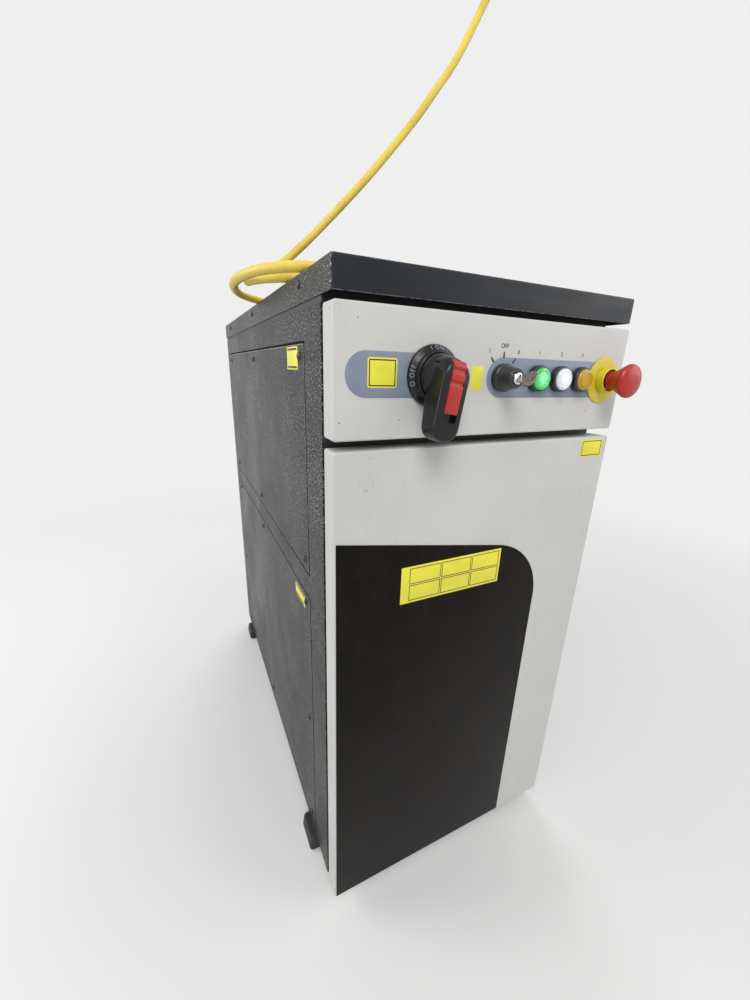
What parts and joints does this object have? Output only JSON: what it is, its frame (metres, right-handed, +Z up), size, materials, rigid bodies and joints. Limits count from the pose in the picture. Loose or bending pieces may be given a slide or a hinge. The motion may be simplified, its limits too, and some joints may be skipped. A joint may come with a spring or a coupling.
{
  "type": "fiber laser source cabinet",
  "caption": "Floor-standing folded sheet cabinet of a fiber laser source, with a hinged door, a control panel with disconnect, key, lamps and stop button, and an armoured output fiber.",
  "frame": {"origin": "on the floor under the middle of the cabinet with its controls and rear fittings, without the output fiber", "axes": "+Z up, -Y out of the front with the controls and the door, +X to the right seen from the front"},
  "size_m": [0.4883, 0.9921, 1.4545],
  "materials": {
    "panel_grey": "satin powder coat",
    "charcoal": "textured powder coat",
    "frame_black": "matt powder coat",
    "black_film": "gloss film",
    "black_plastic": "moulded, satin",
    "zinc": "zinc plated",
    "chrome": "polished",
    "red_plastic": "moulded",
    "green_lens": "lens",
    "white_lens": "lens",
    "amber_lens": "lens",
    "yellow_plastic": "moulded",
    "rubber": "moulded",
    "aluminium": "brushed",
    "brass": "nickel-free turned brass",
    "fiber_yellow": "ribbed armoured jacket"
  },
  "bodies": {
    "cabinet": {"access_panel_lower_left": "charcoal", "access_panel_lower_right": "charcoal", "access_panel_upper_left": "charcoal", "access_panel_upper_right": "charcoal", "amber_lamp_bezel": "black_plastic", "amber_lamp_lens": "amber_lens", "base_tray": "frame_black", "beam_combiner": "aluminium", "control_panel": "panel_grey", "disconnect_escutcheon": "black_plastic", "disconnect_switch": "black_plastic", "door_catch": "black_plastic", "equipment_rack_left": "zinc", "equipment_rack_right": "zinc", "fiber_gland": "brass", "front_foot_left": "rubber", "front_foot_right": "rubber", "front_frame": "frame_black", "interface_sockets": "aluminium", "key_switch_bezel": "black_plastic", "laser_module_1": "aluminium", "laser_module_2": "aluminium", "laser_module_3": "aluminium", "laser_module_4": "aluminium", "lid": "charcoal", "lower_hinge_pin": "zinc", "output_fiber": "fiber_yellow", "overhead_hanger": "zinc", "power_gland": "black_plastic", "power_supply": "zinc", "rear_foot_left": "rubber", "rear_foot_right": "rubber", "rear_panel": "charcoal", "return_manifold": "aluminium", "side_skin_left": "charcoal", "side_skin_right": "charcoal", "start_button_bezel": "black_plastic", "stop_collar": "yellow_plastic", "stop_contact_block": "black_plastic", "stop_legend_disc": "yellow_plastic", "supply_manifold": "aluminium", "top_frame": "frame_black", "upper_hinge_pin": "zinc", "water_inlet_fitting": "brass", "water_outlet_fitting": "brass", "white_lamp_bezel": "black_plastic", "white_lamp_lens": "white_lens"},
    "door": {"door": "panel_grey", "door_film": "black_film", "lower_hinge_leaf": "zinc", "upper_hinge_leaf": "zinc", "door_strike": "zinc"},
    "handle": {"disconnect_handle": "black_plastic", "disconnect_shaft": "zinc"},
    "slide": {"padlock_slide": "red_plastic"},
    "lock": {"key_barrel": "chrome", "key": "zinc"},
    "start": {"start_button": "green_lens"},
    "stop_plunger": {"stop_stem": "black_plastic"},
    "stop_knob": {"stop_head": "red_plastic"}
  },
  "joints": [
    {"name": "door_hinge", "type": "hinge", "parent": "cabinet", "child": "door", "pos_m": [0.2055, -0.38275, 0.4], "axis": [0, 0, 1], "range_deg": [0, 110]},
    {"name": "handle_turn", "type": "hinge", "parent": "cabinet", "child": "handle", "pos_m": [-0.098, -0.40375, 0.8], "axis": [0, -1, 0], "range_deg": [0, 90]},
    {"name": "padlock_slide_travel", "type": "slide", "parent": "handle", "child": "slide", "axis": [-0.165, 0, -0.9863], "range_m": [0, 0.008]},
    {"name": "key_turn", "type": "hinge", "parent": "cabinet", "child": "lock", "pos_m": [-0.003, -0.40375, 0.8], "axis": [0, -1, 0], "range_deg": [0, 80]},
    {"name": "start_press", "type": "slide", "parent": "cabinet", "child": "start", "axis": [0, 1, 0], "range_m": [0, 0.003], "stiffness_N_per_m": 800, "springref_m": -0.001},
    {"name": "stop_press", "type": "slide", "parent": "cabinet", "child": "stop_plunger", "axis": [0, 1, 0], "range_m": [0, 0.006]},
    {"name": "stop_twist", "type": "hinge", "parent": "stop_plunger", "child": "stop_knob", "pos_m": [0.1726, -0.40375, 0.8], "axis": [0, 1, 0], "range_deg": [0, 45], "stiffness_Nm_per_rad": 0.2, "springref_deg": -5.73}
  ]
}
